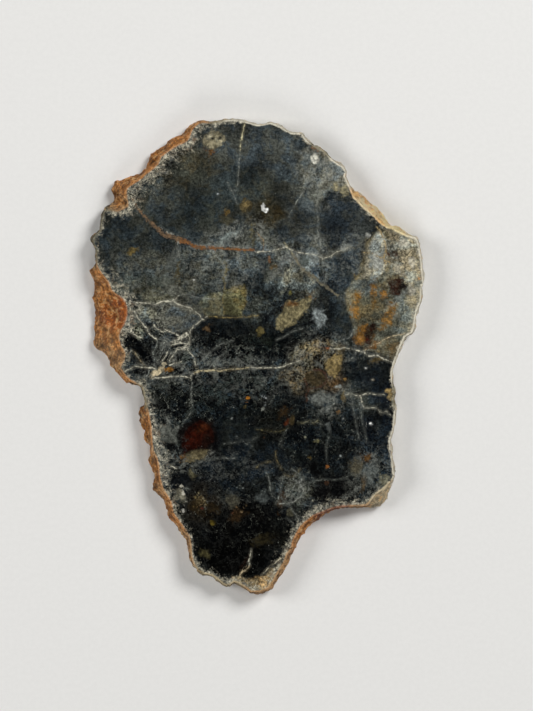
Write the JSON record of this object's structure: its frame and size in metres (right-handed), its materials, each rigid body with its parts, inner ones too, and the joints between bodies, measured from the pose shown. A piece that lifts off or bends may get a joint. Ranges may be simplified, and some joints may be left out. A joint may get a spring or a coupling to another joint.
{
  "type": "lunar meteorite slice",
  "caption": "Thin sawn slice of lunar breccia with an irregular weathered rim, polished on the face that lies up and flat-sawn on the back that it rests on.",
  "frame": {"origin": "under the middle of the slice's outline, on the back cut that it rests on", "axes": "+Z out of the polished face, +Y along the longer side towards the broad rounded end, +X to the right as the polished face is read"},
  "size_m": [0.0838, 0.119, 0.005],
  "materials": {
    "breccia": "polished dark blue-grey breccia with pale clasts and cream veins, and a matte orange-brown to cream rind"
  },
  "bodies": {
    "root": {"slice": "breccia"}
  },
  "joints": []
}
